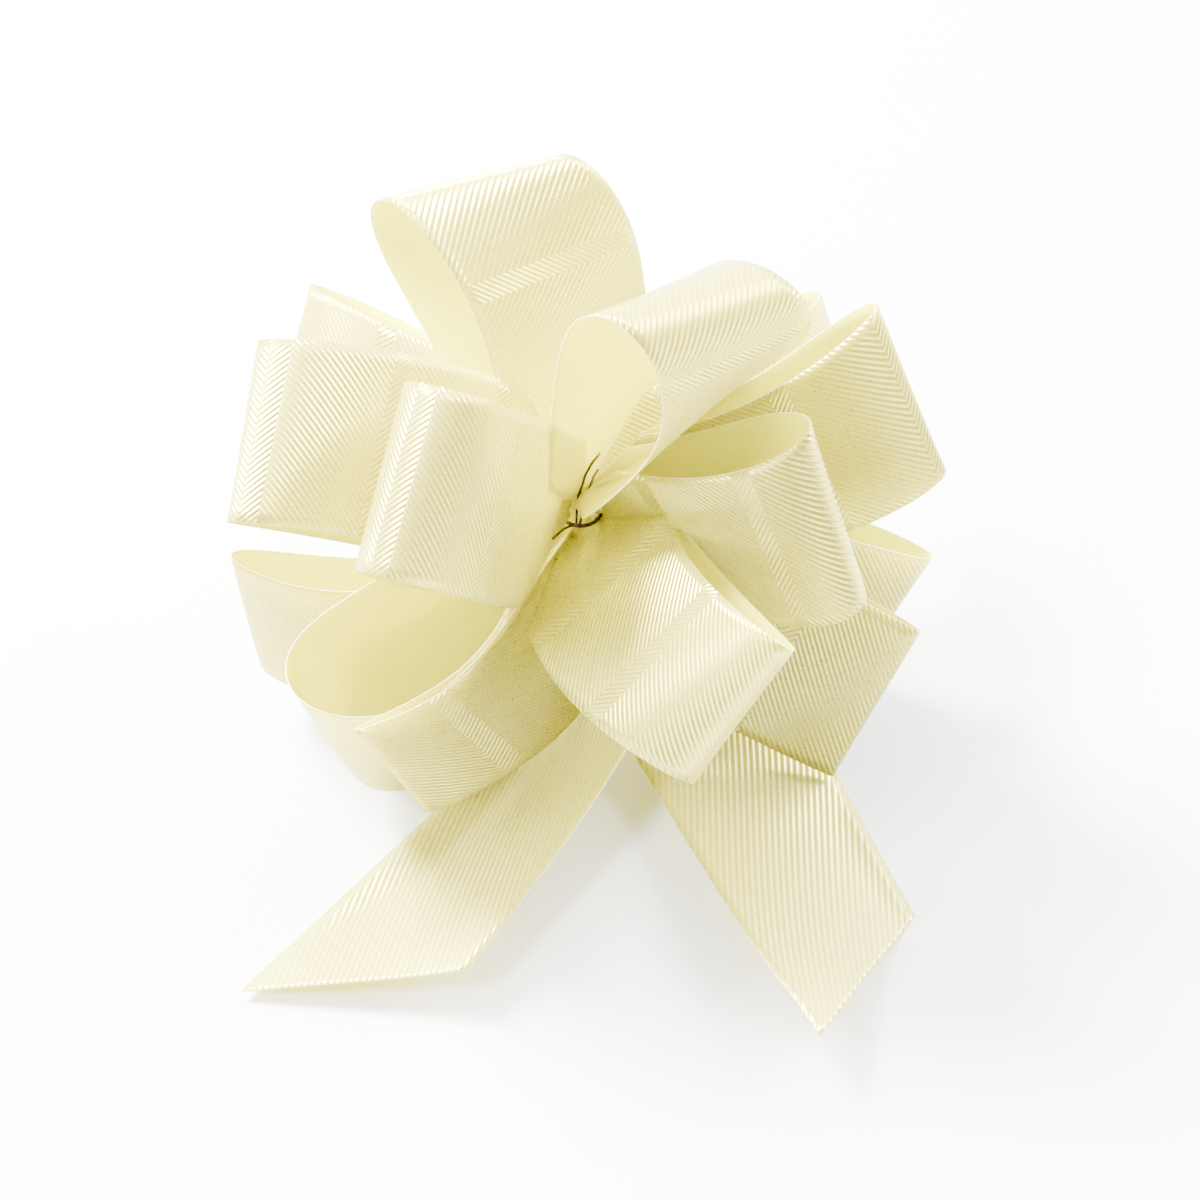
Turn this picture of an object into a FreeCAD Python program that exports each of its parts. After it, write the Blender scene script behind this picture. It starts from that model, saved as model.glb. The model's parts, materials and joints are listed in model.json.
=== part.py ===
"""Pre-made gift bow: satin ribbon loops and two tails gathered at a wire tie.

Frame: +Z up, -Y is the side the tails point to, millimetres. The origin is
the point of the table straight under the tie; the bow rests on z = 0.
"""
import FreeCAD, Part
import math
import os
import Sketcher

V = FreeCAD.Vector
doc = FreeCAD.newDocument("gift_bow")

# ---------------------------------------------------------------- sizes
# The ribbon is the common 32 mm (1 1/4 in) gift ribbon; everything else
# follows from its width.
SIZES = {
    "ribbon_width": 32.0,
    "ribbon_gauge": 0.3,
    "waist_width": 3.0,
    "taper_length": 34.0,
    "tie_height": 42.0,
    "root_gap": 5.5,
    "stack_radius": 2.6,
    "stack_length": 6.0,
    "wire_gauge": 0.6,
    "wire_turn_radius": 3.1,
    "wire_turn_pitch": 1.0,
    "tail_table_gap": 0.0,
}

sheet = doc.addObject("Spreadsheet::Sheet", "Sizes")
for row, (alias, value) in enumerate(SIZES.items(), start=1):
    sheet.set("A%d" % row, alias)
    sheet.set("B%d" % row, str(value))
    sheet.setAlias("B%d" % row, alias)
doc.recompute()

TIE = V(0, 0, SIZES["tie_height"])
ROOT = SIZES["root_gap"]
GAUGE = SIZES["ribbon_gauge"]
HALF = SIZES["ribbon_width"] / 2
WAIST = SIZES["waist_width"] / 2
TAPER = SIZES["taper_length"]

# ---------------------------------------------------------------- layout
# Each loop points away from the tie. "turn" is its compass direction about
# +Z measured from +X, "rise" its angle above the table plane, "roll" the
# tilt of the ribbon's width out of the horizontal, "reach" the distance from
# the tie centre to the tip and "round" the radius of the tip.
LOOPS = {
    # upper ring, standing towards the sky
    "loop_crown": dict(turn=-26, rise=74, roll=-30, reach=60, round=12),
    "loop_back_top": dict(turn=108, rise=33, roll=10, reach=60, round=12),
    "loop_right_upper": dict(turn=8, rise=23, roll=62, reach=62, round=10),
    "loop_front_right_upper": dict(turn=-38, rise=31, roll=80, reach=60, round=11),
    "loop_front": dict(turn=-72, rise=3, roll=43, reach=57, round=10),
    "loop_front_left_upper": dict(turn=-129, rise=50, roll=-75, reach=58, round=11),
    "loop_left_upper": dict(turn=-173, rise=27, roll=-40, reach=62, round=11),
    # middle ring, behind
    "loop_back_left": dict(turn=148, rise=0, roll=-40, reach=59, round=8),
    "loop_back_right": dict(turn=40, rise=2, roll=52, reach=59, round=7),
    # lower ring, standing on its edges on the table
    "loop_right_lower": dict(turn=3, rise=-23, roll=78, reach=60, round=4),
    "loop_front_right_lower": dict(turn=-24, rise=-24, roll=70, reach=63, round=6.5),
    "loop_front_low": dict(turn=-123, rise=-26, roll=-84, reach=58, round=4.5),
    "loop_front_left_lower": dict(turn=-147, rise=-26, roll=-80, reach=59, round=8),
    "loop_left_lower": dict(turn=-169, rise=-22, roll=-80, reach=60, round=5),
    "loop_back_low_left": dict(turn=110, rise=-28.8, roll=90, reach=58, round=7),
    "loop_back_low_right": dict(turn=70, rise=-28.8, roll=90, reach=58, round=7),
}

# Each tail drops steeply from the tie, then lies out along the table.
# "reach" is the distance along the ground to the middle of its cut end,
# "slant" how much further its left corner runs, "tilt" how far it leans
# about its own length.
TAILS = {
    "tail_left": dict(turn=-119, reach=80, slant=26, bend=15, drop=3),
    "tail_right": dict(turn=-57, reach=88, slant=18, bend=15, drop=3),
}


def direction_axes(turn, rise, roll):
    """Unit vectors along, across and out of a ribbon that leaves the tie."""
    a, e, r = (math.radians(v) for v in (turn, rise, roll))
    along = V(math.cos(e) * math.cos(a), math.cos(e) * math.sin(a), math.sin(e))
    level = V(-math.sin(a), math.cos(a), 0)
    upward = along.cross(level)
    across = level * math.cos(r) + upward * math.sin(r)
    return along, across, along.cross(across)


def placement(origin, along, across, out):
    """Placement that carries local X, Y, Z onto the three given axes."""
    m = FreeCAD.Matrix(
        along.x, across.x, out.x, origin.x,
        along.y, across.y, out.y, origin.y,
        along.z, across.z, out.z, origin.z,
        0, 0, 0, 1,
    )
    return FreeCAD.Placement(m)


def origin_plane(body, role):
    """The body's own base plane with the given role."""
    for feature in body.Origin.OriginFeatures:
        if feature.Role == role:
            return feature
    raise ValueError("no plane " + role)


def new_body(label):
    body = doc.addObject("PartDesign::Body", label)
    body.Label = label
    return body


def new_sketch(body, label, role):
    sketch = body.newObject("Sketcher::SketchObject", label)
    sketch.AttachmentSupport = [(origin_plane(body, role), "")]
    sketch.MapMode = "FlatFace"
    return sketch


def add_polygon(sketch, points):
    """Closed polygon through the points, its corners joined."""
    first = sketch.GeometryCount
    count = len(points)
    for k in range(count):
        sketch.addGeometry(Part.LineSegment(points[k], points[(k + 1) % count]), False)
    for k in range(count):
        sketch.addConstraint(
            Sketcher.Constraint("Coincident", first + k, 2, first + (k + 1) % count, 1)
        )


def add_teardrop(sketch, root, centre, radius):
    """Round tip of the given radius with two straight sides closing at the root."""
    lean = math.asin(radius / (centre - root))
    touch = V(centre - radius * math.sin(lean), radius * math.cos(lean), 0)
    low = V(touch.x, -touch.y, 0)
    tip = V(centre + radius, 0, 0)
    first = sketch.GeometryCount
    sketch.addGeometry(Part.LineSegment(V(root, 0, 0), low), False)
    sketch.addGeometry(Part.Arc(low, tip, touch), False)
    sketch.addGeometry(Part.LineSegment(touch, V(root, 0, 0)), False)
    rules = [
        ("Coincident", first, 2, first + 1, 1),
        ("Coincident", first + 1, 2, first + 2, 1),
        ("Coincident", first + 2, 2, first, 1),
        ("PointOnObject", first, 1, -1),
        ("PointOnObject", first + 1, 3, -1),
        ("Radius", first + 1, radius),
    ]
    for rule in rules:
        sketch.addConstraint(Sketcher.Constraint(*rule))


def pad_across(body, sketch, label):
    """Pad a side profile by the ribbon's width, half to each side."""
    pad = body.newObject("PartDesign::Pad", label)
    pad.Profile = sketch
    pad.Midplane = True
    pad.setExpression("Length", "Sizes.ribbon_width")
    doc.recompute()
    return pad


def cut_plan(body, sketch, label, depth):
    """Cut a plan outline right through the ribbon, up and down."""
    cut = body.newObject("PartDesign::Pocket", label)
    cut.Profile = sketch
    cut.Midplane = True
    cut.Length = depth
    doc.recompute()
    return cut


def notch_sides(sketch, reach):
    """The two wedges cut from the ribbon's sides so it narrows to the waist."""
    wide = HALF + 1
    for side in (1, -1):
        add_polygon(sketch, [
            V(0, side * WAIST, 0),
            V(ROOT, side * WAIST, 0),
            V(ROOT + reach, side * HALF, 0),
            V(ROOT + reach, side * wide, 0),
            V(0, side * wide, 0),
        ])


def build_loop(label, turn, rise, roll, reach, **extra):
    radius = extra["round"]
    body = new_body(label)
    side = new_sketch(body, label + "_side", "XZ_Plane")
    centre = reach - radius
    lean = math.asin(radius / (centre - ROOT))
    add_teardrop(side, ROOT, centre, radius)
    add_teardrop(side, ROOT + GAUGE / math.sin(lean), centre, radius - GAUGE)
    pad = pad_across(body, side, label + "_band")
    plan = new_sketch(body, label + "_plan", "XY_Plane")
    notch_sides(plan, TAPER)
    cut = cut_plan(body, plan, label + "_waist", 4 * radius + 8)
    if cut.Shape.Volume >= pad.Shape.Volume:
        raise ValueError(label + ": the waist cut removed nothing")
    body.Placement = placement(TIE, *direction_axes(turn, rise, roll))
    return body


def build_tail(label, turn, reach, slant, bend, drop):
    """A strip that falls from the waist stack, bends, and lies on the table."""
    body = new_body(label)
    side = new_sketch(body, label + "_side", "XZ_Plane")
    # Side view with x along the ground and y measured down from the tie.
    floor = -SIZES["tie_height"] + SIZES["tail_table_gap"]
    steep = math.radians(76)
    top = V(drop, -ROOT, 0)
    heel_in = V(0, 0, 0)
    # The lower face leaves the top along the steep line and meets the floor
    # through an arc of the bend radius.
    fall = bend * math.tan(steep / 2)
    foot_x = top.x + (top.y - floor) / math.tan(steep)
    foot = V(foot_x, floor, 0)
    down = V(math.cos(steep), -math.sin(steep), 0)
    heel_in = foot - down * fall
    heel_out = foot + V(fall, 0, 0)
    hub = heel_out + V(0, bend, 0)
    half = steep / 2
    mid = hub + V(-math.sin(half), -math.cos(half), 0) * bend
    end = V(reach + slant / 2, floor, 0)
    shift = V(math.sin(steep), math.cos(steep), 0) * GAUGE
    rise_by = V(0, GAUGE, 0)
    inner = bend - GAUGE
    mid_up = hub + V(-math.sin(half), -math.cos(half), 0) * inner
    outline = [
        Part.LineSegment(top, heel_in),
        Part.Arc(heel_in, mid, heel_out),
        Part.LineSegment(heel_out, end),
        Part.LineSegment(end, end + rise_by),
        Part.LineSegment(end + rise_by, heel_out + rise_by),
        Part.Arc(heel_out + rise_by, mid_up, heel_in + shift),
        Part.LineSegment(heel_in + shift, top + shift),
        Part.LineSegment(top + shift, top),
    ]
    for curve in outline:
        side.addGeometry(curve, False)
    pad = pad_across(body, side, label + "_band")
    plan = new_sketch(body, label + "_plan", "XY_Plane")
    # Plan view: narrow waist, then the slanted cut at the end.
    neck_end = TAPER
    wide = HALF + 1
    for sign in (1, -1):
        add_polygon(plan, [
            V(0, sign * WAIST, 0),
            V(drop, sign * WAIST, 0),
            V(neck_end, sign * HALF, 0),
            V(neck_end, sign * wide, 0),
            V(0, sign * wide, 0),
        ])
    add_polygon(plan, [
        V(reach + slant / 2, -HALF, 0),
        V(reach - slant / 2, HALF, 0),
        V(reach - slant / 2, wide, 0),
        V(reach + slant / 2 + 1, wide, 0),
        V(reach + slant / 2 + 1, -HALF, 0),
    ])
    cut = cut_plan(body, plan, label + "_trim", 2.2 * SIZES["tie_height"])
    if cut.Shape.Volume >= pad.Shape.Volume:
        raise ValueError(label + ": the trim removed nothing")
    along, across, out = direction_axes(turn, 0, 0)
    body.Placement = placement(TIE, along, across, out)
    return body


def build_stack():
    """The ribbon's waists, laid on one another and squeezed by the wire."""
    body = new_body("waist_stack")
    sketch = new_sketch(body, "waist_stack_section", "XY_Plane")
    sketch.addGeometry(Part.Circle(V(0, 0, 0), V(0, 0, 1), SIZES["stack_radius"]), False)
    sketch.addConstraint(Sketcher.Constraint("Coincident", 0, 3, -1, 1))
    sketch.addConstraint(Sketcher.Constraint("Radius", 0, SIZES["stack_radius"]))
    sketch.setExpression("Constraints[1]", "Sizes.stack_radius")
    pad = body.newObject("PartDesign::Pad", "waist_stack_core")
    pad.Profile = sketch
    pad.Midplane = True
    pad.setExpression("Length", "Sizes.stack_length")
    body.Placement = FreeCAD.Placement(TIE, FreeCAD.Rotation())
    doc.recompute()
    return body


def build_wire():
    """Two turns of thin wire round the waists, ends twisted up and kinked."""
    gauge = SIZES["wire_gauge"]
    radius = SIZES["wire_turn_radius"]
    pitch = SIZES["wire_turn_pitch"]
    helix = Part.makeHelix(pitch, 1.9 * pitch, radius)
    helix.Placement = FreeCAD.Placement(TIE - V(0, 0, 0.95 * pitch), FreeCAD.Rotation())
    start = helix.Edges[0].valueAt(helix.Edges[0].FirstParameter)
    tangent = helix.Edges[0].tangentAt(helix.Edges[0].FirstParameter)
    circle = Part.Wire(Part.makeCircle(gauge / 2, start, tangent))
    coil = Part.Wire(helix.Edges).makePipeShell([circle], True, True)
    feature = doc.addObject("Part::Feature", "tie_wire")
    feature.Label = "tie_wire"
    feature.Shape = coil
    return feature


bodies = [build_loop(name, **size) for name, size in LOOPS.items()]
bodies += [build_tail(name, **size) for name, size in TAILS.items()]
bodies.append(build_stack())
bodies.append(build_wire())
doc.recompute()

os.makedirs("parts", exist_ok=True)
for item in bodies:
    shape = item.Shape
    if "Invalid" in item.State or "Error" in item.State:
        raise ValueError(item.Label + ": the model did not compute")
    if shape.isNull() or not shape.isValid() or shape.Volume <= 0:
        raise ValueError(item.Label + ": no valid solid")
    print(item.Label, round(shape.Volume, 1), len(shape.Solids))
    shape.exportStep("parts/%s.step" % item.Label)
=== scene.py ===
"""Pre-made gift bow: builds the ribbon loops, tails and tie wire over the CAD frame.

Metres, +Z up, -Y towards the side the tails point to. The origin is the point
of the table straight under the tie.
"""
import json
import math

import bpy
import numpy as np
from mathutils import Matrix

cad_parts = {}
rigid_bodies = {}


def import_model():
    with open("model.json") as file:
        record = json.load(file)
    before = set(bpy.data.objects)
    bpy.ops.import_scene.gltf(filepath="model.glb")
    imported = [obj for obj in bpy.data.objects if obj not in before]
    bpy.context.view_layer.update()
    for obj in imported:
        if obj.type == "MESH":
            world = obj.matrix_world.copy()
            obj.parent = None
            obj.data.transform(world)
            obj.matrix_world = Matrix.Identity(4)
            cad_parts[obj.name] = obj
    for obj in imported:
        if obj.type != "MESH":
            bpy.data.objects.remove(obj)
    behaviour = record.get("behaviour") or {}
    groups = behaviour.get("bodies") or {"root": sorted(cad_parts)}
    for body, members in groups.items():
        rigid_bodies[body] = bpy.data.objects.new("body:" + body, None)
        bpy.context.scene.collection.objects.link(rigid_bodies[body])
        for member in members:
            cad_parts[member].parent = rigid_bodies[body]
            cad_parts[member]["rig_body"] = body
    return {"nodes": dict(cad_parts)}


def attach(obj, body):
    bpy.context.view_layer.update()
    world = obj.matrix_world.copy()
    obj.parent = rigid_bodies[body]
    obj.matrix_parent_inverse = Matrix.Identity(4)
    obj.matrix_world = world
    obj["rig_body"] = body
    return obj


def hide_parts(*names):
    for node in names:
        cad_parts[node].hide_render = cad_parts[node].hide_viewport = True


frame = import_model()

bl_info = {
    "name": "Gift Bow Builder",
    "version": (1, 0, 0),
    "blender": (4, 5, 0),
    "location": "3D View > Sidebar > Gift Bow",
    "description": "Builds the ribbon loops, tails and tie wire of a pre-made gift bow",
    "category": "Object",
}

MM = 0.001
# Where the wire squeezes the waists, in millimetres.
TIE = np.array([0.0, 0.0, 42.0])

# ------------------------------------------------------------------ layout
# Where LOOPS and TAILS come from: a separate least-squares program fitted these
# values to the outlines of a real bow and wrote them here. Only a few were
# moved afterwards. They are not values chosen by hand or worked out from the
# frame, which is what this script ought to hold.
#
# Millimetres and degrees. "turn" is the compass direction of a loop about +Z
# from +X, "rise" its angle above the table plane, "roll" the tilt of the
# ribbon's width out of the horizontal, "reach" the distance from the tie to
# the tip and "round" half the greatest opening. "slip" is how far the tip
# has slid along the ribbon's width and "sway" how far the middle bows that
# way. "twist" is how much the two strands of the loop turn against each
# other, "lean" how much the width turns by the tip and "skew" how much
# farther one edge reaches. "full" is how far the opening moves out to the tip
# (0 is an oval, 1 a teardrop) and "layer" the height of its waist in the
# stack.
LOOPS = {
    "loop_crown": dict(
        turn=-20.6, rise=70.7, roll=-11.8, reach=66.3, round=10.3, slip=0.9,
        twist=1.7, sway=4, lean=-27.1, skew=-0.2, full=1.8, layer=3.0),
    "loop_back_top": dict(
        turn=122.7, rise=47.4, roll=12.2, reach=60.1, round=8.9, slip=-5.8,
        twist=-1, sway=-6.7, lean=-34.2, skew=2.4, full=1.8, layer=2.4),
    "loop_right_upper": dict(
        turn=2.9, rise=23.5, roll=87.6, reach=63.5, round=3.3, slip=4.3,
        twist=5.8, sway=-5, lean=-27.8, skew=-0.4, full=1.8, layer=1.8),
    "loop_front_right_upper": dict(
        turn=-25.1, rise=26.3, roll=96.9, reach=53.8, round=6, slip=0.5,
        twist=1.9, sway=-2.6, lean=-25.7, skew=-1.3, full=1.8, layer=2.0),
    "loop_front": dict(
        turn=-67.3, rise=6.9, roll=42.6, reach=58.6, round=7.2, slip=6.2,
        twist=13.3, sway=-1.9, lean=13.3, skew=1, full=1.35, layer=-3.4),
    "loop_front_left_upper": dict(
        turn=-137.9, rise=51.5, roll=-64.5, reach=58.7, round=9.5, slip=4.1,
        twist=3.6, sway=3, lean=-0.6, skew=0.7, full=1.49, layer=2.6),
    "loop_left_upper": dict(
        turn=-172.1, rise=32.1, roll=-34.3, reach=64.6, round=7.3, slip=2.1,
        twist=10.7, sway=-1.6, lean=8, skew=0.9, full=1.31, layer=1.8),
    "loop_back_left": dict(
        turn=146, rise=-2.6, roll=-46.4, reach=61.1, round=4.5, slip=0.2,
        twist=3.7, sway=0.1, lean=-4.9, skew=-1, full=1.28, layer=-0.6),
    "loop_back_right": dict(
        turn=35.8, rise=-3.9, roll=51.5, reach=58.4, round=6.9, slip=-0.2,
        twist=-4.6, sway=-1, lean=2.7, skew=0.3, full=1.2, layer=-0.6),
    "loop_right_lower": dict(
        turn=-2.9, rise=-26, roll=82, reach=62.3, round=1.9, slip=0.1,
        twist=-12.8, sway=0.3, lean=-2.1, skew=-0.6, full=1.31, layer=-2.0),
    "loop_front_right_lower": dict(
        turn=-21.3, rise=-24.5, roll=45.1, reach=62.9, round=1.8, slip=-1.7,
        twist=-7.2, sway=-2.5, lean=12.4, skew=-1.3, full=1.44, layer=-2.4),
    "loop_front_low": dict(
        turn=-112.4, rise=-26.2, roll=-69.2, reach=55.3, round=1.8, slip=-24,
        twist=-6, sway=11.5, lean=-6, skew=3, full=1.78, layer=-2.6),
    "loop_front_left_lower": dict(
        turn=-138.2, rise=-4.3, roll=-89.2, reach=57.4, round=10, slip=11,
        twist=27.1, sway=11.3, lean=1.6, skew=-3.9, full=1.8, layer=-2.4),
    "loop_left_lower": dict(
        turn=-169.1, rise=-14, roll=-87.3, reach=60, round=5.2, slip=-0.1,
        twist=-12.8, sway=17.4, lean=-2.1, skew=2.3, full=1.22, layer=-2.0),
    "loop_back_low_left": dict(
        turn=110, rise=-28.4, roll=91.6, reach=58, round=5.9, slip=0.1,
        twist=-0.2, sway=0, lean=0.1, skew=0, full=1.2, layer=-3.0),
    "loop_back_low_right": dict(
        turn=72.9, rise=-29.2, roll=85.1, reach=58, round=5.5, slip=0.6,
        twist=1.4, sway=-0.5, lean=-0.4, skew=0.1, full=1.23, layer=-3.0),
}

# Each tail follows a smooth curve pulled by these points, starting in the
# waist stack. "tilt" is how far the ribbon leans about its length at the
# start and at the end, "slant" how much longer its left edge is cut.
TAILS = {
    "tail_left": dict(
        pull=[(0, 0, 40), (15.1, -10.4, 9.1), (7.1, -16.4, 7.3), (-13.7, -42.3, 1.1), (-37.2, -72.3, 4.7)],
        tilt=(57.6, 15.4), slant=23.4),
    "tail_right": dict(
        pull=[(0, 0, 40), (14.1, 0, 10.8), (24.7, -9.1, 0), (32.7, -40.2, 1.1), (49.3, -71.3, 5.1)],
        tilt=(15.6, -21), slant=20.9),
}

# Waves pressed into the ribbon by handling: height and length in millimetres.
LOOP_RIPPLES = ((0.22, 9.0), (0.16, 5.3), (0.12, 13.0))
TAIL_RIPPLES = ((0.5, 15.0), (0.3, 8.0))
TAIL_RIPPLES_FULL = 40.0  # distance from the tie where they reach their height

LOOP_ROOT = 1.6  # distance from the tie's middle where a loop begins
NOTCH_ROWS = 12  # mesh rows along each notch
CUP_DEPTH = 1.3  # cupping of the ribbon at its waist
CUP_LENGTH = 9.0  # length over which it dies out
TAIL_EXTRA_TAPER = 10.0  # a tail widens over this much more than a notch
TABLE_GAP = 0.12  # lowest height of a tail's middle surface

# Waist stack: millimetres. Each pleat set is its height, count and shift.
STACK_HALF_HEIGHT = 3.4
STACK_WAIST = 2.3
STACK_FLARE = 0.35
STACK_PLEATS = ((0.22, 11, 0.0), (0.12, 17, 1.0))
STACK_UV_RADIUS = 2.5

# Tie wire: millimetres from the tie's middle. The coil climbs as it goes round
# and its centre stands off the tie's axis. The points of WIRE_ENDS lie just
# over the ribbon: they were picked from surface places that a separate
# ray-casting program printed, and moved off the ribbon by hand.
COIL_CENTRE = (1.0, -0.5)
COIL_RADIUS = 3.8
COIL_TURNS = 2
COIL_START = 1.4  # radians
COIL_LIFT = 0.6
COIL_CLIMB = 0.9
WIRE_ENDS = {
    "up": [(0.2, -4.2, 1.2), (0.3, -3.4, 3.8), (0.5, -2.1, 6.5), (1.3, -1.7, 9.2),
           (1.7, -1.2, 11.0), (2.9, 0.1, 12.9), (4.3, 1.6, 13.7)],
    "side": [(0.8, -4.2, 1.4), (1.5, -3.6, 5.2), (2.3, -2.8, 9.0), (3.1, -0.4, 9.6),
             (3.9, 1.4, 9.4)],
    "low": [(-0.6, -4.0, 0.8), (-1.8, -5.4, 1.8), (-2.7, -7.7, 3.5), (-3.8, -9.8, 4.6)],
}
KINK_ROUNDING = 0.25  # share of each run that a kink's curve takes up

# Ribs: the period is one long band and the short one after it, in long bands.
ZIGZAG_PERIOD = 1.19
GROOVE_SHARPNESS = 2.2
RIB_HEIGHT = 0.00016  # metres
RIB_SHADE = 0.55  # painted shade at the bottom of a groove: how far it darkens
RIB_METAL = 0.60  # metallic share of a fully ribbed face
RIB_FADE = -0.9  # change of the ribs' depth right at the tie
THREAD_ROUGHNESS = 0.12
DYE_DRIFT = 0.25
# Colour multiplied in at the bottom of each groove: painted shade.
GROOVE_PAINTED_SHADE = (0.66, 0.62, 0.48, 1)
PAINTED_SHADE_FROM, PAINTED_SHADE_TO = 0.004, 0.042  # metres from the tie between which the painted shade and bounce light fade out

# Finishes of the ribbon: colour at the outside of the bow, colour deep in it
# (painted shade and the yellow light bounced between the loops), roughness,
# depth of the ribs and share of light that passes through. The tails' ribs
# never turn, so their band is longer than the tail.
FACE = dict(outer=(0.64, 0.595, 0.13, 1), painted_shade=(0.84, 0.80, 0.06, 1), gloss=0.29, glow=0.30)
FINISHES = {
    "Ribbon face": dict(FACE, rib_depth=1.0),
    "Tail face": dict(FACE, rib_depth=0.6, band=1000.0, slope=0.45),
    "Ribbon back": dict(
        outer=(0.99, 0.97, 0.09, 1), painted_shade=(0.99, 0.955, 0.015, 1),
        gloss=0.50, rib_depth=0.12, glow=0.62),
    "Ribbon cut edge": dict(
        outer=(0.95, 0.94, 0.66, 1), painted_shade=(0.95, 0.90, 0.42, 1),
        gloss=0.60, rib_depth=0.10, glow=0.30),
}

# Stage: metres and watts. Each lamp is its place, width and power.
TABLE_HALF_EDGE = 4000.0  # millimetres
LAMPS = {
    "key": ((-0.55, 0.45, 0.75), 0.36, 175.0),
    "side": ((0.75, 0.40, 0.55), 0.45, 40.0),
    "front": ((-0.50, -0.30, 0.80), 0.25, 22.0),
}
LAMP_AIM = (0, 0, 0.04)
STUDIO_TINT = (0.97, 0.98, 1.0, 1)
STUDIO_DARK_SIDE = (0.10, -0.74, 0.66)
STUDIO_RANGE = (0.0, 0.78, 12.0, 0.6)  # facing from and to, brightness there
CAMERA_RISE = 52.0  # degrees above the table
CAMERA_DISTANCE = 0.8
CAMERA_LENS = 139.2
CAMERA_SHIFT = (0.0208, -0.075)

RING_GROUPS = {
    "upper": [
        "loop_crown", "loop_back_top", "loop_right_upper", "loop_front_right_upper",
        "loop_front", "loop_front_left_upper", "loop_left_upper",
    ],
    "middle": ["loop_back_left", "loop_back_right"],
    "lower": [
        "loop_right_lower", "loop_front_right_lower", "loop_front_low",
        "loop_front_left_lower", "loop_left_lower", "loop_back_low_left",
        "loop_back_low_right",
    ],
}


class GiftBowSettings(bpy.types.PropertyGroup):
    """Sizes shared by every piece of the bow."""
    ribbon_width: bpy.props.FloatProperty(
        name="Ribbon width", default=32.0, min=10.0, max=60.0,
        description="Width of the ribbon in millimetres")
    ribbon_gauge: bpy.props.FloatProperty(
        name="Ribbon thickness", default=0.16, min=0.05, max=0.5,
        description="Thickness of the ribbon in millimetres")
    waist_width: bpy.props.FloatProperty(
        name="Waist width", default=4.5, min=2.0, max=12.0,
        description="Width left between the notches in millimetres")
    notch_length: bpy.props.FloatProperty(
        name="Notch length", default=16.0, min=4.0, max=40.0,
        description="Length over which the ribbon widens from its waist")
    rib_pitch: bpy.props.FloatProperty(
        name="Rib pitch", default=0.85, min=0.3, max=4.0,
        description="Distance between embossed ribs in millimetres")
    band_length: bpy.props.FloatProperty(
        name="Band length", default=18.0, min=1.0, max=40.0,
        description="Length of ribbon before the ribs change direction")
    wire_gauge: bpy.props.FloatProperty(
        name="Wire thickness", default=0.42, min=0.2, max=1.5,
        description="Diameter of the tie wire in millimetres")
    rows: bpy.props.IntProperty(
        name="Rows", default=110, min=30, max=300,
        description="Mesh rows along the free part of a loop")
    columns: bpy.props.IntProperty(
        name="Columns", default=16, min=4, max=60,
        description="Mesh faces across the ribbon")


# ------------------------------------------------------------------ geometry
def unit(v):
    """Each row of v scaled to length one."""
    return v / np.linalg.norm(v, axis=-1, keepdims=True)


def loop_axes(turn, rise, roll):
    """Unit vectors along, across and out of a ribbon that leaves the tie.

    along points at the compass turn and rises above the table; across starts
    level and is rolled about along; out is along cross across.
    """
    a, e, r = (math.radians(v) for v in (turn, rise, roll))
    along = np.array([math.cos(e) * math.cos(a), math.cos(e) * math.sin(a), math.sin(e)])
    level = np.array([-math.sin(a), math.cos(a), 0.0])
    upward = np.cross(along, level)
    across = level * math.cos(r) + upward * math.sin(r)
    return along, across, np.cross(along, across)


def arc_length(path):
    """Distance along a path of points, starting at zero."""
    steps = np.linalg.norm(np.diff(path, axis=0), axis=1)
    return np.concatenate([[0.0], np.cumsum(steps)])


def at_distance(path, distance, wanted):
    """Points of the path at the wanted distances along it."""
    return np.stack([np.interp(wanted, distance, path[:, k]) for k in range(path.shape[1])], -1)


def wave_along(distance, height, length, shift):
    """Wave of the given height along the ribbon, turning once every 2 pi lengths."""
    return height * np.sin(distance / length + shift)


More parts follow.
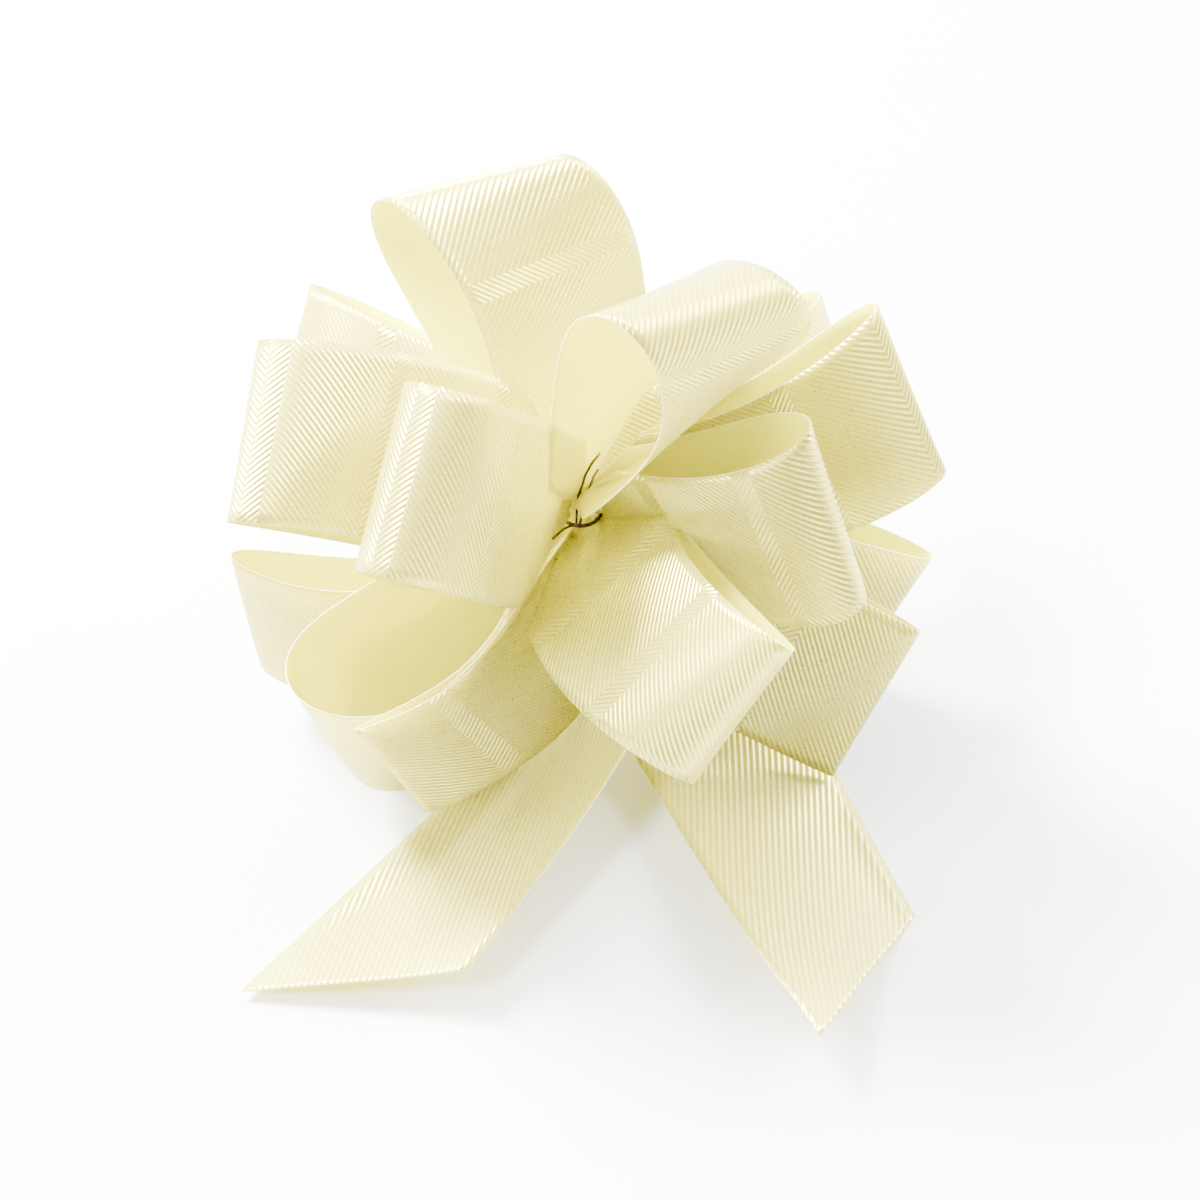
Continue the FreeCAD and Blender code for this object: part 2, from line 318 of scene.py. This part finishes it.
def loop_grid(spec, size, seed):
    """Grid of points of one ribbon loop, with its length and width coordinates.

    The middle line is a closed oval that runs out from the tie and back: at
    angle p it lies reach*(1-cos p)/2 along and sin p times |sin(p/2)|**full,
    scaled to the loop's half opening, to the side. The tip slides by slip
    along the width with the square of the way out, and the middle bows by
    sway. The width line is turned about the loop's axis by twist, from minus
    on the way out to plus on the way back, and by lean with the square of the
    way out; skew makes one edge reach farther than the other. The ribbon is
    as wide as its waist at both ends, widens evenly over the notch length, is
    slightly rippled, and cupped near the waist.
    """
    along, across, out = loop_axes(spec["turn"], spec["rise"], spec["roll"])
    p = np.linspace(0.0, 2.0 * np.pi, 1601)
    side = np.sin(p) * np.abs(np.sin(p / 2)) ** spec["full"]
    side *= spec["round"] / side.max()
    x = LOOP_ROOT + (spec["reach"] - LOOP_ROOT) * (1 - np.cos(p)) / 2
    s = arc_length(np.stack([x, side], -1))
    total = s[-1]
    notch = size.notch_length
    rows = np.concatenate([
        np.linspace(0, notch, NOTCH_ROWS + 1)[:-1],
        np.linspace(notch, total - notch, size.rows + 1),
        np.linspace(total - notch, total, NOTCH_ROWS + 1)[1:],
    ])
    mid = at_distance(np.stack([x, side, p], -1), s, rows)
    x, side, p = mid[:, 0], mid[:, 1], mid[:, 2]
    end_gap = np.minimum(rows, total - rows)
    half = (size.waist_width + (size.ribbon_width - size.waist_width)
            * np.clip(end_gap / notch, 0, 1)) / 2
    t = np.linspace(-1, 1, size.columns + 1)
    way = np.clip(x / spec["reach"], 0, 1)
    turn = np.radians(spec["twist"] * (p / np.pi - 1) + spec["lean"] * way ** 2)
    wide = np.cos(turn)[:, None] * across + np.sin(turn)[:, None] * out
    drift = spec["slip"] * way ** 2 + spec["sway"] * np.sin(np.pi * way)
    centre = (TIE + np.array([0, 0, spec["layer"]]) * (1 - np.clip(way * 3, 0, 1))[:, None]
              + x[:, None] * along + side[:, None] * out + drift[:, None] * across)
    tangent = unit(np.gradient(centre, axis=0))
    normal = unit(np.cross(tangent, wide))
    rng = np.random.default_rng(seed)
    phase = rng.uniform(0, 2 * np.pi, len(LOOP_RIPPLES))
    edge, bow, curl = (wave_along(rows, *pair, shift)[:, None]
                       for pair, shift in zip(LOOP_RIPPLES, phase))
    ripple = edge * t + bow * t ** 2 + curl * (t ** 3 - t)
    cup = CUP_DEPTH * np.exp(-(end_gap / CUP_LENGTH) ** 2)[:, None] * (t ** 2 - 0.4)
    across_mm = half[:, None] * t
    longer = spec["skew"] * (way ** 2)[:, None] * t
    points = (centre[:, None, :] + across_mm[..., None] * wide[:, None, :]
              + longer[..., None] * along
              + (ripple * way[:, None] + cup)[..., None] * normal[:, None, :])
    length_mm = np.repeat(rows[:, None], len(t), axis=1)
    return points, length_mm, across_mm, total


def bezier(points, t):
    """Points on the smooth curve pulled by the control points at fractions t."""
    work = np.repeat(np.asarray(points, float)[None], len(t), axis=0)
    f = np.asarray(t)[:, None, None]
    while work.shape[1] > 1:
        work = work[:, :-1] * (1 - f) + work[:, 1:] * f
    return work[:, 0]


def tail_grid(spec, size, seed):
    """Grid of points of one tail, with its length and width coordinates.

    The middle line is the curve of the pull points. The width line is level
    and square to the curve, leaning about it from the first tilt to the
    second. Each column runs to its own length, so that the end is cut on a
    slant, the left column the longest.
    """
    path = bezier(spec["pull"], np.linspace(0, 1, 1201))
    s = arc_length(path)
    reach = s[-1]
    # The curve runs on straight past its end for the longer columns.
    run_on = path[-1] + (path[-1] - path[-2]) / (s[-1] - s[-2]) * spec["slant"]
    path = np.vstack([path, run_on])
    s = np.append(s, reach + spec["slant"])
    t = np.linspace(-1, 1, size.columns + 1)
    rows = np.linspace(0, 1, size.rows + 1)
    ends = reach - spec["slant"] / 2 * t
    length_mm = rows[:, None] * ends[None, :]
    centre = at_distance(path, s, length_mm.ravel())
    ahead = at_distance(path, s, np.minimum(length_mm.ravel() + 0.5, s[-1]))
    behind = at_distance(path, s, np.maximum(length_mm.ravel() - 0.5, 0))
    tangent = unit(ahead - behind)
    level = unit(np.cross(np.array([0, 0, 1.0]), tangent))
    lean = np.radians(np.interp(length_mm.ravel(), [0, reach], spec["tilt"]))
    normal = np.cross(tangent, level)
    wide = np.cos(lean)[:, None] * level + np.sin(lean)[:, None] * normal
    half = (size.waist_width + (size.ribbon_width - size.waist_width)
            * np.clip(length_mm / (size.notch_length + TAIL_EXTRA_TAPER), 0, 1)) / 2
    across_mm = half * t
    rng = np.random.default_rng(seed)
    phase = rng.uniform(0, 2 * np.pi, len(TAIL_RIPPLES))
    edge, bow = (wave_along(length_mm, *pair, shift)
                 for pair, shift in zip(TAIL_RIPPLES, phase))
    wave = edge * t + bow * (t ** 2 - 0.5)
    wave *= np.clip(length_mm / TAIL_RIPPLES_FULL, 0, 1)
    points = centre + across_mm.ravel()[:, None] * wide + wave.ravel()[:, None] * normal
    points[:, 2] = np.maximum(points[:, 2], TABLE_GAP)
    return points.reshape(length_mm.shape + (3,)), length_mm, across_mm, reach


def tube_grid(path, radius, sides=12):
    """Rings of points round a path: one ring of the given radius per point.

    Each ring lies square to the path, and its first point is carried along
    with the least turning, so the tube does not twist.
    """
    tangent = unit(np.gradient(path, axis=0))
    ref = np.cross(tangent[0], [0.3, 0.5, 0.8])
    frames = []
    for direction in tangent:
        ref = ref - direction * np.dot(ref, direction)
        ref = ref / np.linalg.norm(ref)
        frames.append(ref)
    first = np.array(frames)
    second = np.cross(tangent, first)
    a = np.linspace(0, 2 * np.pi, sides, endpoint=False)
    ring = (np.cos(a)[None, :, None] * first[:, None, :]
            + np.sin(a)[None, :, None] * second[:, None, :])
    return path[:, None, :] + radius * ring


def grid_faces(rows, columns, wrap=False):
    """Vertex numbers of the quads of a grid, the last column joined if wrapped."""
    r = np.arange(rows - 1)[:, None]
    c = np.arange(columns if wrap else columns - 1)[None, :]
    n = (c + 1) % columns
    quads = np.stack([r * columns + c, r * columns + n, (r + 1) * columns + n,
                      (r + 1) * columns + c], -1)
    return quads.reshape(-1, 4)


def new_mesh(name, vertices, quads, extra=()):
    """Mesh object in the scene from points in millimetres."""
    mesh = bpy.data.meshes.new(name)
    faces = quads.tolist() + [list(f) for f in extra]
    mesh.from_pydata((vertices * MM).tolist(), [], faces)
    mesh.shade_smooth()
    mesh.update()
    obj = bpy.data.objects.new(name, mesh)
    bpy.context.scene.collection.objects.link(obj)
    return obj


def lay_uv(obj, length_mm, across_mm):
    """Write the ribbon's own length and width, in millimetres, as its UV map."""
    layer = obj.data.uv_layers.new(name="Ribbon")
    corner = np.empty(len(obj.data.loops), dtype=np.int64)
    obj.data.loops.foreach_get("vertex_index", corner)
    uv = np.stack([length_mm.ravel()[corner], across_mm.ravel()[corner]], -1)
    layer.data.foreach_set("uv", uv.astype(np.float32).ravel())


def ribbon_object(name, points, length_mm, across_mm, size, body, face="Ribbon face"):
    """Ribbon piece with its thickness, its three finishes and its body."""
    shape = points.shape[:2]
    obj = new_mesh(name + "_ribbon", points.reshape(-1, 3), grid_faces(*shape)[:, ::-1])
    lay_uv(obj, length_mm, across_mm)
    for material in (face, "Ribbon back", "Ribbon cut edge"):
        obj.data.materials.append(bpy.data.materials[material])
    thick = obj.modifiers.new("Thickness", "SOLIDIFY")
    thick.thickness = size.ribbon_gauge * MM
    thick.offset = 0.0
    thick.material_offset = 1
    thick.material_offset_rim = 2
    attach(obj, body)
    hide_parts(name)
    return obj


# ------------------------------------------------------------------ materials
def add_node(tree, kind, label, **settings):
    """Node of the given type with its plain settings and input values."""
    node = tree.nodes.new(kind)
    node.label = label
    for key, value in settings.items():
        if key.startswith("in_"):
            node.inputs[int(key[3:])].default_value = value
        else:
            setattr(node, key, value)
    return node


def add_math(tree, operation, first, second=None, label="", third=None):
    """Math node fed by sockets or plain numbers; returns its output."""
    node = tree.nodes.new("ShaderNodeMath")
    node.operation = operation
    node.label = label
    for slot, value in enumerate((first, second, third)):
        if value is None:
            continue
        if isinstance(value, (int, float)):
            node.inputs[slot].default_value = value
        else:
            tree.links.new(value, node.inputs[slot])
    return node.outputs[0]


def set_range(node, from_low, from_high, to_low, to_high):
    """Set the ends of a Map Range node and the values that it gives there."""
    for slot, value in enumerate((from_low, from_high, to_low, to_high), start=1):
        node.inputs[slot].default_value = value


def emboss_group(size):
    """Node group: height of the zigzag ribs, and the groove mask that places their painted shade.

    At slope 1 the ribs run at 45 degrees to the ribbon's length. They turn
    the other way for a short band after every long one and join up there.
    """
    group = bpy.data.node_groups.new("Zigzag emboss", "ShaderNodeTree")
    face = group.interface
    face.new_socket("Ribbon UV", in_out="INPUT", socket_type="NodeSocketVector")
    pitch = face.new_socket("Pitch", in_out="INPUT", socket_type="NodeSocketFloat")
    pitch.default_value = size.rib_pitch
    band = face.new_socket("Band length", in_out="INPUT", socket_type="NodeSocketFloat")
    band.default_value = size.band_length
    slope = face.new_socket("Slope", in_out="INPUT", socket_type="NodeSocketFloat")
    slope.default_value = 1.0
    face.new_socket("Height", in_out="OUTPUT", socket_type="NodeSocketFloat")
    face.new_socket("Groove", in_out="OUTPUT", socket_type="NodeSocketFloat")
    start = group.nodes.new("NodeGroupInput")
    end = group.nodes.new("NodeGroupOutput")
    split = group.nodes.new("ShaderNodeSeparateXYZ")
    group.links.new(start.outputs["Ribbon UV"], split.inputs[0])
    period = add_math(group, "MULTIPLY", start.outputs["Band length"], ZIGZAG_PERIOD, "Zigzag period")
    place = add_math(group, "FLOORED_MODULO", split.outputs["X"], period, "Place in period")
    double = add_math(group, "MULTIPLY", start.outputs["Band length"], 2.0, "Twice the long band")
    back = add_math(group, "SUBTRACT", double, place, "Short band")
    rise = add_math(group, "MINIMUM", place, back, "Rise in period")
    share = add_math(group, "DIVIDE", split.outputs["X"], period, "Place in periods")
    count = add_math(group, "FLOOR", share, None, "Periods passed")
    net = add_math(group, "SUBTRACT", double, period, "Gain in one period")
    gain = add_math(group, "MULTIPLY", count, net, "Gain so far")
    swing = add_math(group, "ADD", rise, gain, "Zigzag")
    swing = add_math(group, "MULTIPLY", swing, start.outputs["Slope"], "Sloped zigzag")
    slide = add_math(group, "ADD", split.outputs["Y"], swing, "Along the rib")
    step = add_math(group, "MULTIPLY", start.outputs["Pitch"], math.sqrt(2), "Pitch on the edge")
    turns = add_math(group, "DIVIDE", slide, step, "Rib number")
    angle = add_math(group, "MULTIPLY", turns, 2 * math.pi, "Rib angle")
    wave = add_math(group, "SINE", angle, None, "Rib wave")
    lifted = add_math(group, "MULTIPLY_ADD", wave, 0.5, "Rib height", 0.5)
    groove = add_math(group, "SUBTRACT", 1.0, lifted, "Groove depth")
    painted_shade = add_math(group, "POWER", groove, GROOVE_SHARPNESS, "Groove mask")
    group.links.new(lifted, end.inputs["Height"])
    group.links.new(painted_shade, end.inputs["Groove"])
    return group


def tone_group():
    """Node group: ribbon colour with soft drift, and painted shade and bounce light: a yellower colour
    towards the tie, deep in the bow.
    """
    group = bpy.data.node_groups.new("Ribbon tone and painted shade", "ShaderNodeTree")
    face = group.interface
    face.new_socket("Place", in_out="INPUT", socket_type="NodeSocketVector")
    face.new_socket("Outer colour", in_out="INPUT", socket_type="NodeSocketColor")
    face.new_socket("Painted shade colour", in_out="INPUT", socket_type="NodeSocketColor")
    face.new_socket("Drift", in_out="INPUT", socket_type="NodeSocketFloat")
    face.new_socket("Colour", in_out="OUTPUT", socket_type="NodeSocketColor")
    face.new_socket("Depth", in_out="OUTPUT", socket_type="NodeSocketFloat")
    start = group.nodes.new("NodeGroupInput")
    end = group.nodes.new("NodeGroupOutput")
    from_tie = add_node(group, "ShaderNodeVectorMath", "From the tie", operation="DISTANCE")
    from_tie.inputs[1].default_value = tuple(TIE * MM)
    group.links.new(start.outputs["Place"], from_tie.inputs[0])
    # Painted shade and bounce light: full strength at the tie, gone towards the outside of the bow.
    depth = add_node(group, "ShaderNodeMapRange", "Depth in the bow", interpolation_type="SMOOTHSTEP")
    set_range(depth, PAINTED_SHADE_FROM, PAINTED_SHADE_TO, 1.0, 0.0)
    group.links.new(from_tie.outputs["Value"], depth.inputs[0])
    cloud = add_node(group, "ShaderNodeTexNoise", "Dye drift")
    cloud.inputs["Scale"].default_value = 55.0
    cloud.inputs["Detail"].default_value = 3.0
    group.links.new(start.outputs["Place"], cloud.inputs["Vector"])
    centred = add_math(group, "SUBTRACT", cloud.outputs["Fac"], 0.5, "Centred drift")
    scaled = add_math(group, "MULTIPLY", centred, start.outputs["Drift"], "Drift amount")
    mixed = add_math(group, "ADD", depth.outputs["Result"], scaled, "Depth and drift")
    held = add_math(group, "MINIMUM", mixed, 1.0, "Upper limit")
    held = add_math(group, "MAXIMUM", held, 0.0, "Lower limit")
    mix = add_node(group, "ShaderNodeMix", "Tone", data_type="RGBA")
    group.links.new(held, mix.inputs["Factor"])
    group.links.new(start.outputs["Outer colour"], mix.inputs["A"])
    group.links.new(start.outputs["Painted shade colour"], mix.inputs["B"])
    group.links.new(mix.outputs["Result"], end.inputs["Colour"])
    group.links.new(depth.outputs["Result"], end.inputs["Depth"])
    return group


def ribbon_material(name, size, emboss, tone, outer, painted_shade, gloss, rib_depth, glow,
                    band=None, slope=1.0):
    """Embossed satin ribbon: sheen along the ribs and light through the cloth.

    The ribs turn after the ribbon's own band length unless band is given.
    """
    material = bpy.data.materials.new(name)
    material.use_nodes = True
    tree = material.node_tree
    tree.nodes.clear()
    uv = add_node(tree, "ShaderNodeUVMap", "Ribbon length and width", uv_map="Ribbon")
    place = add_node(tree, "ShaderNodeTexCoord", "Place on the bow")
    ribs = add_node(tree, "ShaderNodeGroup", "Zigzag emboss", node_tree=emboss)
    tree.links.new(uv.outputs["UV"], ribs.inputs["Ribbon UV"])
    ribs.inputs["Pitch"].default_value = size.rib_pitch
    ribs.inputs["Band length"].default_value = size.band_length if band is None else band
    ribs.inputs["Slope"].default_value = slope
    colour = add_node(tree, "ShaderNodeGroup", "Ribbon tone and painted shade", node_tree=tone)
    tree.links.new(place.outputs["Object"], colour.inputs["Place"])
    colour.inputs["Outer colour"].default_value = outer
    # Colour painted deep in the bow for its shade and the yellow light bounced between the loops.
    colour.inputs["Painted shade colour"].default_value = painted_shade
    colour.inputs["Drift"].default_value = DYE_DRIFT
    # Painted shade: the colour is darkened at the bottom of each groove, less near the tie.
    darken = add_node(tree, "ShaderNodeMix", "Painted groove shade", data_type="RGBA", blend_type="MULTIPLY")
    tree.links.new(colour.outputs["Colour"], darken.inputs["A"])
    darken.inputs["B"].default_value = GROOVE_PAINTED_SHADE
    close = add_math(tree, "POWER", colour.outputs["Depth"], 3.0, "Close to the tie")
    flatter = add_math(tree, "MULTIPLY_ADD", close, RIB_FADE, "Ribs fade near the tie", 1.0)
    shade = add_math(tree, "MULTIPLY", ribs.outputs["Groove"], flatter, "Grooves left")
    amount = add_math(tree, "MULTIPLY", shade, rib_depth * RIB_SHADE, "Groove shade")
    tree.links.new(amount, darken.inputs["Factor"])
    bump = add_node(tree, "ShaderNodeBump", "Pressed ribs")
    bump.inputs["Strength"].default_value = 0.8
    bump.inputs["Distance"].default_value = rib_depth * RIB_HEIGHT
    left = add_math(tree, "MULTIPLY", ribs.outputs["Height"], flatter, "Ribs left")
    tree.links.new(left, bump.inputs["Height"])
    weave = add_node(tree, "ShaderNodeTexNoise", "Fine thread")
    weave.inputs["Scale"].default_value = 2400.0
    tree.links.new(place.outputs["Object"], weave.inputs["Vector"])
    rough = add_math(tree, "MULTIPLY_ADD", weave.outputs["Fac"], THREAD_ROUGHNESS,
                     "Thread roughness", gloss - THREAD_ROUGHNESS / 2)
    shader = add_node(tree, "ShaderNodeBsdfPrincipled", "Satin")
    shader.inputs["Specular IOR Level"].default_value = 0.6
    shader.inputs["Metallic"].default_value = RIB_METAL * rib_depth
    shader.inputs["Sheen Weight"].default_value = 0.05
    shader.inputs["Sheen Roughness"].default_value = 0.4
    tree.links.new(darken.outputs["Result"], shader.inputs["Base Color"])
    tree.links.new(rough, shader.inputs["Roughness"])
    tree.links.new(bump.outputs["Normal"], shader.inputs["Normal"])
    through = add_node(tree, "ShaderNodeBsdfTranslucent", "Light through the cloth")
    tree.links.new(colour.outputs["Colour"], through.inputs["Color"])
    tree.links.new(bump.outputs["Normal"], through.inputs["Normal"])
    blend = add_node(tree, "ShaderNodeMixShader", "Face and glow")
    blend.inputs[0].default_value = glow
    tree.links.new(shader.outputs[0], blend.inputs[1])
    tree.links.new(through.outputs[0], blend.inputs[2])
    output = add_node(tree, "ShaderNodeOutputMaterial", "Output")
    tree.links.new(blend.outputs[0], output.inputs["Surface"])
    return material


def wire_material():
    """Dark annealed wire with worn bright patches."""
    material = bpy.data.materials.new("Tie wire")
    material.use_nodes = True
    tree = material.node_tree
    shader = tree.nodes["Principled BSDF"]
    place = add_node(tree, "ShaderNodeTexCoord", "Place on the bow")
    spots = add_node(tree, "ShaderNodeTexNoise", "Worn patches")
    spots.inputs["Scale"].default_value = 900.0
    spots.inputs["Detail"].default_value = 4.0
    tree.links.new(place.outputs["Object"], spots.inputs["Vector"])
    ramp = add_node(tree, "ShaderNodeValToRGB", "Wire colour")
    ramp.color_ramp.elements[0].position = 0.35
    ramp.color_ramp.elements[0].color = (0.03, 0.022, 0.010, 1)
    ramp.color_ramp.elements[1].position = 0.75
    ramp.color_ramp.elements[1].color = (0.14, 0.105, 0.045, 1)
    tree.links.new(spots.outputs["Fac"], ramp.inputs["Fac"])
    tree.links.new(ramp.outputs["Color"], shader.inputs["Base Color"])
    shader.inputs["Metallic"].default_value = 0.85
    rough = add_math(tree, "MULTIPLY_ADD", spots.outputs["Fac"], 0.3, "Roughness", 0.28)
    tree.links.new(rough, shader.inputs["Roughness"])
    bump = add_node(tree, "ShaderNodeBump", "Drawn surface")
    bump.inputs["Strength"].default_value = 0.3
    bump.inputs["Distance"].default_value = 0.00005
    tree.links.new(spots.outputs["Fac"], bump.inputs["Height"])
    tree.links.new(bump.outputs["Normal"], shader.inputs["Normal"])
    return material


def table_material():
    """Matt white table with a very faint grain."""
    material = bpy.data.materials.new("White table")
    material.use_nodes = True
    tree = material.node_tree
    shader = tree.nodes["Principled BSDF"]
    place = add_node(tree, "ShaderNodeTexCoord", "Place on the table")
    grain = add_node(tree, "ShaderNodeTexNoise", "Paper grain")
    grain.inputs["Scale"].default_value = 60.0
    tree.links.new(place.outputs["Object"], grain.inputs["Vector"])
    ramp = add_node(tree, "ShaderNodeValToRGB", "White")
    ramp.color_ramp.elements[0].color = (0.71, 0.71, 0.72, 1)
    ramp.color_ramp.elements[1].color = (0.74, 0.74, 0.75, 1)
    tree.links.new(grain.outputs["Fac"], ramp.inputs["Fac"])
    tree.links.new(ramp.outputs["Color"], shader.inputs["Base Color"])
    shader.inputs["Roughness"].default_value = 0.75
    return material


# ------------------------------------------------------------------ operators
class BOW_OT_materials(bpy.types.Operator):
    """Make the ribbon, wire and table finishes"""
    bl_idname = "bow.materials"
    bl_label = "Materials"

    def execute(self, context):
        size = context.scene.gift_bow
        emboss = emboss_group(size)
        tone = tone_group()
        for name, finish in FINISHES.items():
            ribbon_material(name, size, emboss, tone, **finish)
        wire_material()
        table_material()
        return {"FINISHED"}


class BOW_OT_loops(bpy.types.Operator):
    """Build the ribbon loops of one ring"""
    bl_idname = "bow.loops"
    bl_label = "Loops"

    ring: bpy.props.EnumProperty(
        name="Ring", items=[(key, key.title(), "The %s ring of loops" % key) for key in RING_GROUPS])

    def execute(self, context):
        size = context.scene.gift_bow
        names = list(LOOPS)
        for name in RING_GROUPS[self.ring]:
            points, length_mm, across_mm, total = loop_grid(LOOPS[name], size, names.index(name))
            body = frame["nodes"][name]["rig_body"]
            obj = ribbon_object(name, points, length_mm, across_mm, size, body)
        return {"FINISHED"}


class BOW_OT_tails(bpy.types.Operator):
    """Build the two slant-cut tails"""
    bl_idname = "bow.tails"
    bl_label = "Tails"

    def execute(self, context):
        size = context.scene.gift_bow
        for seed, (name, spec) in enumerate(TAILS.items(), start=40):
            points, length_mm, across_mm, reach = tail_grid(spec, size, seed)
            # The ribs of the left tail run the other way.
            mirrored = -across_mm if name == "tail_left" else across_mm
            obj = ribbon_object(name, points, length_mm, mirrored, size, name + "_body", "Tail face")
        return {"FINISHED"}


class BOW_OT_tie(bpy.types.Operator):
    """Build the wire round the waists, its twist and its kinked ends"""
    bl_idname = "bow.tie"
    bl_label = "Tie wire"

    def execute(self, context):
        size = context.scene.gift_bow
        radius = size.wire_gauge / 2
        a = np.linspace(0, COIL_TURNS * 2 * np.pi, 160)
        coil = TIE + np.stack([
            COIL_CENTRE[0] + COIL_RADIUS * np.cos(a + COIL_START),
            COIL_CENTRE[1] + COIL_RADIUS * np.sin(a + COIL_START),
            COIL_LIFT + COIL_CLIMB * a / a[-1]], -1)
        pieces = [tube_grid(coil, radius)]
        for corners in WIRE_ENDS.values():
            path = TIE + smooth_path(np.array(corners, float))
            pieces.append(tube_grid(path, radius))
        vertices, quads, caps = [], [], []
        base = 0
        for grid in pieces:
            rows, sides = grid.shape[:2]
            vertices.append(grid.reshape(-1, 3))
            quads.append(grid_faces(rows, sides, wrap=True) + base)
            caps.append([base + k for k in reversed(range(sides))])
            caps.append([base + (rows - 1) * sides + k for k in range(sides)])
            base += rows * sides
        obj = new_mesh("tie_wire_strand", np.vstack(vertices), np.vstack(quads), caps)
        obj.data.materials.append(bpy.data.materials["Tie wire"])
        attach(obj, "tie")
        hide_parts("tie_wire")
        return {"FINISHED"}


def smooth_path(corners, per_span=8):
    """Path through the corners, each corner rounded only slightly so kinks stay."""
    points = [corners[0]]
    for k in range(1, len(corners) - 1):
        before = corners[k] + (corners[k - 1] - corners[k]) * KINK_ROUNDING
        after = corners[k] + (corners[k + 1] - corners[k]) * KINK_ROUNDING
        points.extend(bezier([before, corners[k], after], np.linspace(0, 1, per_span)))
    points.append(corners[-1])
    return np.array(points)


class BOW_OT_waists(bpy.types.Operator):
    """Build the stack of pleated waists that the wire squeezes"""
    bl_idname = "bow.waists"
    bl_label = "Waist stack"

    def execute(self, context):
        a = np.linspace(0, 2 * np.pi, 72, endpoint=False)
        z = np.linspace(-STACK_HALF_HEIGHT, STACK_HALF_HEIGHT, 25)
        pleat = sum(height * np.sin(count * a + shift)[None, :]
                    for height, count, shift in STACK_PLEATS)
        waist = STACK_WAIST + STACK_FLARE * (z / STACK_HALF_HEIGHT) ** 2
        radius = waist[:, None] + pleat
        points = np.stack([radius * np.cos(a), radius * np.sin(a),
                           np.repeat(z[:, None], len(a), axis=1)], -1) + TIE
        quads = grid_faces(len(z), len(a), wrap=True)
        last = (len(z) - 1) * len(a)
        caps = [list(range(len(a)))[::-1], [last + k for k in range(len(a))]]
        obj = new_mesh("waist_stack_pleats", points.reshape(-1, 3), quads, caps)
        uv_length = np.repeat(z[:, None], len(a), axis=1)
        uv_across = np.repeat((a * STACK_UV_RADIUS)[None, :], len(z), axis=0)
        lay_uv(obj, uv_length, uv_across)
        obj.data.materials.append(bpy.data.materials["Ribbon back"])
        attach(obj, "tie")
        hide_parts("waist_stack")
        return {"FINISHED"}


class BOW_OT_stage(bpy.types.Operator):
    """Lay the table, the soft studio light and the camera"""
    bl_idname = "bow.stage"
    bl_label = "Stage"

    def execute(self, context):
        scene = context.scene
        edge = TABLE_HALF_EDGE
        corners = np.array([(-edge, -edge, 0), (edge, -edge, 0), (edge, edge, 0), (-edge, edge, 0)])
        table = new_mesh("table", corners, np.array([[0, 1, 2, 3]]))
        table.data.materials.append(bpy.data.materials["White table"])
        world = bpy.data.worlds.new("Studio") if scene.world is None else scene.world
        scene.world = world
        world.use_nodes = True
        tree = world.node_tree
        back = tree.nodes["Background"]
        back.inputs["Color"].default_value = STUDIO_TINT
        sky = add_node(tree, "ShaderNodeTexCoord", "Direction")
        facing = add_node(tree, "ShaderNodeVectorMath", "Towards the dark side", operation="DOT_PRODUCT")
        facing.inputs[1].default_value = STUDIO_DARK_SIDE
        tree.links.new(sky.outputs["Generated"], facing.inputs[0])
        level = add_node(tree, "ShaderNodeMapRange", "Studio brightness")
        set_range(level, *STUDIO_RANGE)
        tree.links.new(facing.outputs["Value"], level.inputs[0])
        tree.links.new(level.outputs["Result"], back.inputs["Strength"])
        for name, (place, width, power) in LAMPS.items():
            data = bpy.data.lights.new(name, "AREA")
            data.size = width
            data.energy = power
            lamp = bpy.data.objects.new(name, data)
            lamp.location = place
            lamp.rotation_euler = look_angles(np.array(LAMP_AIM) - np.array(place))
            scene.collection.objects.link(lamp)
        rise = math.radians(CAMERA_RISE)
        back_off = CAMERA_DISTANCE * math.cos(rise)
        height = TIE[2] * MM + CAMERA_DISTANCE * math.sin(rise)
        data = bpy.data.cameras.new("camera")
        data.lens = CAMERA_LENS
        data.sensor_width = 36.0
        data.shift_x, data.shift_y = CAMERA_SHIFT
        data.clip_start = 0.01
        camera = bpy.data.objects.new("camera", data)
        camera.location = (0, -back_off, height)
        camera.rotation_euler = (math.pi / 2 - rise, 0, 0)
        scene.collection.objects.link(camera)
        scene.camera = camera
        return {"FINISHED"}


def look_angles(aim):
    """Euler angles that point a lamp's -Z axis along the aim direction."""
    x, y, z = aim / np.linalg.norm(aim)
    return (math.acos(-z), 0.0, math.atan2(-x, y))


class BOW_PT_panel(bpy.types.Panel):
    """Buttons that build the bow, in order"""
    bl_idname = "BOW_PT_panel"
    bl_label = "Gift Bow"
    bl_space_type = "VIEW_3D"
    bl_region_type = "UI"
    bl_category = "Gift Bow"

    def draw(self, context):
        layout = self.layout
        for name in GiftBowSettings.__annotations__:
            layout.prop(context.scene.gift_bow, name)
        layout.operator("bow.materials")
        for ring in RING_GROUPS:
            layout.operator("bow.loops", text="Loops, %s ring" % ring).ring = ring
        for name in ("bow.tails", "bow.waists", "bow.tie", "bow.stage"):
            layout.operator(name)


CLASSES = (
    GiftBowSettings, BOW_OT_materials, BOW_OT_loops, BOW_OT_tails, BOW_OT_tie,
    BOW_OT_waists, BOW_OT_stage, BOW_PT_panel,
)


def register():
    """Add the bow's settings, operators and panel."""
    for cls in CLASSES:
        bpy.utils.register_class(cls)
    bpy.types.Scene.gift_bow = bpy.props.PointerProperty(type=GiftBowSettings)


def unregister():
    """Take them away again."""
    del bpy.types.Scene.gift_bow
    for cls in reversed(CLASSES):
        bpy.utils.unregister_class(cls)


def main():
    """Build the whole bow."""
    register()
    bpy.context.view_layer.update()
    bpy.ops.bow.materials()
    for ring in RING_GROUPS:
        bpy.ops.bow.loops(ring=ring)
    bpy.ops.bow.tails()
    bpy.ops.bow.waists()
    bpy.ops.bow.tie()
    bpy.ops.bow.stage()


if __name__ == "__main__":
    main()
